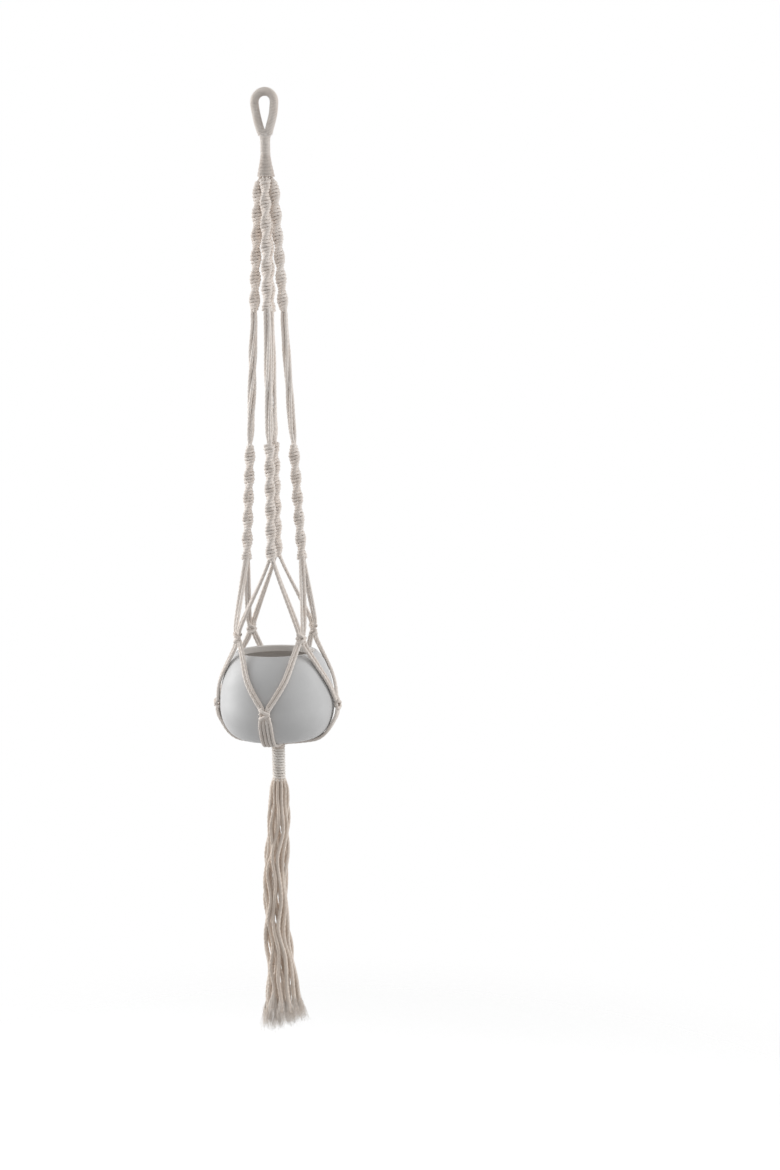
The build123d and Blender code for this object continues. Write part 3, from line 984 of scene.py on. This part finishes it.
# Routes of the tassel's cords in their leg's own frame: outwards, sideways and down from the pivot
tasselRoutes = [
    [
        (0.0032, 0, -0.009), (0.0095, 0, 0.005), (0.0106, 0.0008, 0.047),
        (0.0120, -0.0006, 0.097), (0.0112, 0.0009, 0.147), (0.0132, -0.0004, 0.195),
        (0.0158, 0.0008, 0.239), (0.0200, 0.0016, 0.275),
    ],
    [
        (0.0026, 0.0018, -0.009), (0.0082, 0.0048, 0.005), (0.0090, 0.0060, 0.044),
        (0.0106, 0.0054, 0.092), (0.0096, 0.0069, 0.141), (0.0117, 0.0060, 0.191),
        (0.0130, 0.0082, 0.235), (0.0166, 0.0110, 0.277),
    ],
    [
        (0.0026, -0.0018, -0.009), (0.0082, -0.0048, 0.005), (0.0092, -0.0046, 0.050),
        (0.0102, -0.0062, 0.101), (0.0099, -0.0053, 0.149), (0.0110, -0.0071, 0.200),
        (0.0136, -0.0074, 0.242), (0.0158, -0.0104, 0.271),
    ],
    [
        (0.0014, 0, -0.009), (0.0048, 0, 0.0086), (0.0048, 0.0007, 0.052),
        (0.0054, -0.0006, 0.103), (0.0046, 0.0008, 0.153), (0.0052, -0.0007, 0.202),
        (0.0059, 0.0006, 0.244), (0.0076, 0.0014, 0.281),
    ],
]


# Each cord is still wavy where it was knotted before
def wavyRoute(route):
    outs, sides, downs = np.array(route).T
    along = np.linspace(downs[1], downs[-1], tassel["waveSteps"])
    waves = chance.uniform(*tassel["waveLength"], 2)
    phases = chance.uniform(0, 2 * math.pi, 2)
    toEnd = np.minimum(along - along[0], along[-1] - along)
    swing = tassel["waveHeight"] * np.clip(toEnd / tassel["waveStart"], 0, 1)
    outWave, sideWave = np.sin(2 * math.pi * along / waves[:, None] + phases[:, None])
    wavyOut = np.interp(along, downs, outs) + tassel["waveOutwards"] * swing * outWave
    wavySide = np.interp(along, downs, sides) + swing * sideWave
    return [route[0], *zip(wavyOut, wavySide, along)]


# The tassel's darker, warmer colours are painted shade between the bunched cords
shadedTasselMaterial = makeCordMaterial("tasselCordPaintedShade", tassel["paleColour"], tassel["shadeColour"])
# The fray's paler colours are painted light against the fibres' own shade
litFrayMaterial = makeCordMaterial("frayedCottonPaintedLight", fray["paleColour"], fray["shadeColour"])
fibreProfile = np.ones(fray["fibreSides"])
fibreRadii = np.array(fray["fibreTaper"]) * fray["fibreDiameter"] / 2
pivotDepth = gathering["depth"] + gathering["length"]
for (name, azimuth), stretch in zip(legs.items(), tassel["stretch"]):
    for number, route in enumerate(tasselRoutes):
        points = []
        for out, side, down in wavyRoute(route):
            bowed = math.sin(math.pi * max(0.0, down) / tassel["lengths"][number]) ** 2
            sway = polar(tassel["bow"] * bowed, tassel["bowAzimuth"], 0)
            points.append(polar(out, azimuth, pivotDepth + down * stretch, side) + sway)
        line = smoothLine(points)
        strands = newStrands()
        addRope(strands, line, taper=tassel["taper"])
        end = finishStrands(strands, f"{name}TasselCord{number + 1}", shadedTasselMaterial)
        if number == 0:
            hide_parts(f"{name}_tassel_cords")
        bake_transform(end)

        # Fibres root in the cord a little above its tip and splay out past it
        strands = newStrands()
        tip = line[-1]
        frayStart = line[np.argmin(np.abs(np.linalg.norm(line - tip, axis=1) - fray["length"]))]
        heading = (tip - frayStart) / np.linalg.norm(tip - frayStart)
        for fibre in range(fray["fibres"]):
            swirl = chance.uniform(0, 2 * math.pi)
            share = math.sqrt(chance.uniform(0, 1))
            sideways = np.array((math.cos(swirl), math.sin(swirl), 0)) * share
            reach = fray["fibreLength"] * chance.uniform(*fray["lengthShares"])
            root = frayStart + sideways * rope["diameter"] * fray["rootSpread"]
            splay = heading + sideways * fray["spread"] * chance.uniform(*fray["spreadShares"])
            bend = np.array((*chance.normal(0, fray["bend"], 2), 0))
            straight = root + heading * reach * fray["straightShare"]
            halfway = root + splay * reach * fray["bendShare"] + bend
            fibreLine = smoothLine([root, straight, halfway, root + splay * reach])
            fibreLine = fibreLine[:: fray["fibreThinning"]]
            tone = chance.uniform(*fray["tones"])
            addTube(
                strands, fibreLine, fibreRadii, fibreProfile, fray["fibreLay"], tone, fray["fibreStep"]
            )
        tuft = finishStrands(strands, f"{name}TasselFray{number + 1}", litFrayMaterial)
        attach(tuft, "tassel")
print("stage: tassel made")

softboxes = {
    "leftSoftbox": {
        "place": (-1.3, 0.10, -0.35),
        "target": (0, 0, -0.55),
        "size": (0.7, 1.6),
        "power": 17.0,
    },
    "topSoftbox": {
        "place": (0.1, -0.75, 0.75),
        "target": (0, 0, -0.60),
        "size": (1.0, 1.0),
        "power": 3.0,
    },
    "rightSoftbox": {
        "place": (1.35, 0.25, -0.35),
        "target": (0, 0, -0.55),
        "size": (0.6, 1.6),
        "power": 11.5,
    },
}


def areaLight(name, place, target, size, power):
    data = bpy.data.lights.new(name, "AREA")
    data.shape = "RECTANGLE"
    data.size, data.size_y = size
    data.energy = power
    lamp = bpy.data.objects.new(name, data)
    lamp.location = place
    lamp.rotation_euler = (Vector(target) - Vector(place)).to_track_quat("-Z", "Y").to_euler()
    bpy.context.scene.collection.objects.link(lamp)
    return lamp


for name, softbox in softboxes.items():
    areaLight(name, **softbox)

# A round floor, lit from above by a lamp of its own, so that it is nearly as white as the room behind it
studioFloor = {
    "depth": 1.30,
    "radius": 1.0,
    "fadeStart": 0.55,
    "edgeStep": 5,
    "colour": (0.65, 0.65, 0.65),
    "roughness": 0.9,
    "softbox": {"place": (0, 0.3, 1.0), "target": (0, 0.3, -1.3), "size": (0.7, 0.7), "power": 36.0},
}
floorMesh = bpy.data.meshes.new("floor")
rimPlaces = [polar(studioFloor["radius"], angle, 0) for angle in range(0, 360, studioFloor["edgeStep"])]
floorMesh.from_pydata(rimPlaces, [], [range(len(rimPlaces))])
floor = bpy.data.objects.new("floor", floorMesh)
floor.location = (0, 0, -studioFloor["depth"])
floor.visible_diffuse = False
floorParts = bpy.data.collections.new("floorParts")
bpy.context.scene.collection.children.link(floorParts)
floorParts.objects.link(floor)
floorLamp = areaLight("floorSoftbox", **studioFloor["softbox"])
floorLamp.light_linking.receiver_collection = floorParts
floorMaterial = bpy.data.materials.new("floorPaper")
floorMaterial.use_nodes = True
nodes, link = floorMaterial.node_tree.nodes, floorMaterial.node_tree.links.new
paper = nodes["Principled BSDF"]
paper.inputs["Base Color"].default_value = (*studioFloor["colour"], 1)
paper.inputs["Roughness"].default_value = studioFloor["roughness"]

# The floor fades into the room at its edge, and is seen through from below
spot = nodes.new("ShaderNodeTexCoord")
reach = nodes.new("ShaderNodeVectorMath")
reach.operation = "LENGTH"
fade = nodes.new("ShaderNodeMapRange")
fade.interpolation_type = "SMOOTHSTEP"
fade.inputs["From Min"].default_value = studioFloor["fadeStart"]
fade.inputs["From Max"].default_value = studioFloor["radius"]
below = nodes.new("ShaderNodeNewGeometry")
unseen = nodes.new("ShaderNodeMath")
unseen.operation = "MAXIMUM"
clear = nodes.new("ShaderNodeBsdfTransparent")
faded = nodes.new("ShaderNodeMixShader")
link(spot.outputs["Object"], reach.inputs[0])
link(reach.outputs["Value"], fade.inputs["Value"])
link(fade.outputs["Result"], unseen.inputs[0])
link(below.outputs["Backfacing"], unseen.inputs[1])
link(unseen.outputs["Value"], faded.inputs["Fac"])
link(paper.outputs["BSDF"], faded.inputs[1])
link(clear.outputs["BSDF"], faded.inputs[2])
link(faded.outputs["Shader"], nodes["Material Output"].inputs["Surface"])
floorMesh.materials.append(floorMaterial)

# The room looks white, and lights the hanger with a part of that
room = {"light": 0.46, "white": 1.0}
world = bpy.data.worlds.new("studio")
world.use_nodes = True
bpy.context.scene.world = world
nodes, link = world.node_tree.nodes, world.node_tree.links.new
background = nodes["Background"]
background.inputs["Color"].default_value = (1, 1, 1, 1)
rays = nodes.new("ShaderNodeLightPath")
seen = nodes.new("ShaderNodeMath")
seenThrough = nodes.new("ShaderNodeMath")
for maths in (seen, seenThrough):
    maths.operation = "MAXIMUM"
link(rays.outputs["Is Camera Ray"], seen.inputs[0])
link(rays.outputs["Is Glossy Ray"], seen.inputs[1])
link(seen.outputs["Value"], seenThrough.inputs[0])
link(rays.outputs["Is Transmission Ray"], seenThrough.inputs[1])
strength = nodes.new("ShaderNodeMapRange")
strength.inputs["To Min"].default_value = room["light"]
strength.inputs["To Max"].default_value = room["white"]
link(seenThrough.outputs["Value"], strength.inputs["Value"])
link(strength.outputs["Result"], background.inputs["Strength"])

bpy.context.scene.view_settings.view_transform = "Standard"
print("stage: studio made")

view = {
    "azimuth": 12.0,
    "distance": 2.2,
    "height": -0.275,
    "aimDepth": 0.548,
    "aimRight": 0.1315,
    "roll": -0.84,
    "lens": 59.7,
    "sensorWidth": 36,
}
turn = math.radians(view["azimuth"])
right = Vector((math.cos(turn), math.sin(turn), 0))
camera = bpy.data.objects.new("camera", bpy.data.cameras.new("camera"))
camera.location = (
    view["distance"] * math.sin(turn),
    -view["distance"] * math.cos(turn),
    view["height"],
)
aim = Vector((0, 0, -view["aimDepth"])) + right * view["aimRight"]
facing = (aim - camera.location).to_track_quat("-Z", "Y").to_matrix()
camera.rotation_euler = (facing @ Matrix.Rotation(math.radians(view["roll"]), 3, "Z")).to_euler()
camera.data.lens = view["lens"]
camera.data.sensor_width = view["sensorWidth"]
bpy.context.scene.collection.objects.link(camera)
bpy.context.scene.camera = camera
print("stage: camera set")
